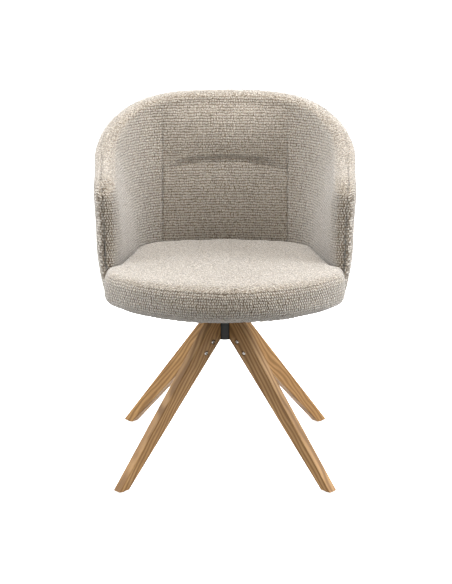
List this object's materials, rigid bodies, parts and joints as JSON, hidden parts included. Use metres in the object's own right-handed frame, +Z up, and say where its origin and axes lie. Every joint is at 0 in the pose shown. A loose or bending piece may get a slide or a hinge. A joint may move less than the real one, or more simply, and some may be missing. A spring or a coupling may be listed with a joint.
{
  "type": "swivel dining chair",
  "caption": "Upholstered tub dining chair whose one-piece seat and back turn on a wooden star base with splayed flat legs and a black steel hub.",
  "frame": {"origin": "on the floor at the swivel axis, which is also the centre of the bounding box in plan", "axes": "+Z up along the swivel axis; the chair faces -Y; +X is to the right of someone who faces the chair"},
  "size_m": [0.6078, 0.578, 0.834],
  "materials": {
    "solid_oak": "satin lacquered solid oak, straight and cathedral grain",
    "glide_plastic": "matt black plastic",
    "black_steel": "satin black powder coat",
    "black_plastic": "matt black plastic",
    "zinc_steel": "bright zinc plated",
    "bush_nylon": "natural nylon",
    "bearing_steel": "ground steel, lightly greased",
    "plywood": "unfinished birch plywood",
    "underside_cloth": "black non-woven dust cloth",
    "boucle_seat": "warm greige loop boucle in fine rows",
    "boucle_inside": "warm greige loop boucle in rows",
    "boucle_outside": "warm greige loop boucle in rows"
  },
  "bodies": {
    "base": {"leg_front_left": "solid_oak", "leg_front_right": "solid_oak", "leg_rear_left": "solid_oak", "leg_rear_right": "solid_oak", "glides": "glide_plastic", "hub_tube": "black_steel", "hub_blades": "black_steel", "hub_cap": "black_plastic", "leg_bolts": "zinc_steel", "sleeve_nuts": "zinc_steel", "lower_bush": "bush_nylon", "upper_bush": "bush_nylon", "lower_race": "bearing_steel", "roller_cage": "bush_nylon", "rollers": "bearing_steel"},
    "seat": {"spindle": "bearing_steel", "retaining_washer": "bush_nylon", "retaining_clip": "bearing_steel", "upper_race": "bearing_steel", "swivel_plate": "black_steel", "plate_bolts": "zinc_steel", "plate_washers": "zinc_steel", "tee_nuts": "zinc_steel", "seat_board": "plywood", "dust_cover": "underside_cloth", "seat_cushion": "boucle_seat", "back_pad": "boucle_inside", "head_roll": "boucle_inside", "left_side_pad": "boucle_inside", "right_side_pad": "boucle_inside", "outer_cover": "boucle_outside", "back_shell": "plywood", "shell_screws": "zinc_steel"}
  },
  "joints": [
    {"name": "seat_swivel", "type": "hinge", "parent": "base", "child": "seat", "pos_m": [0, 0, 0.396], "axis": [0, 0, 1], "continuous": true}
  ]
}
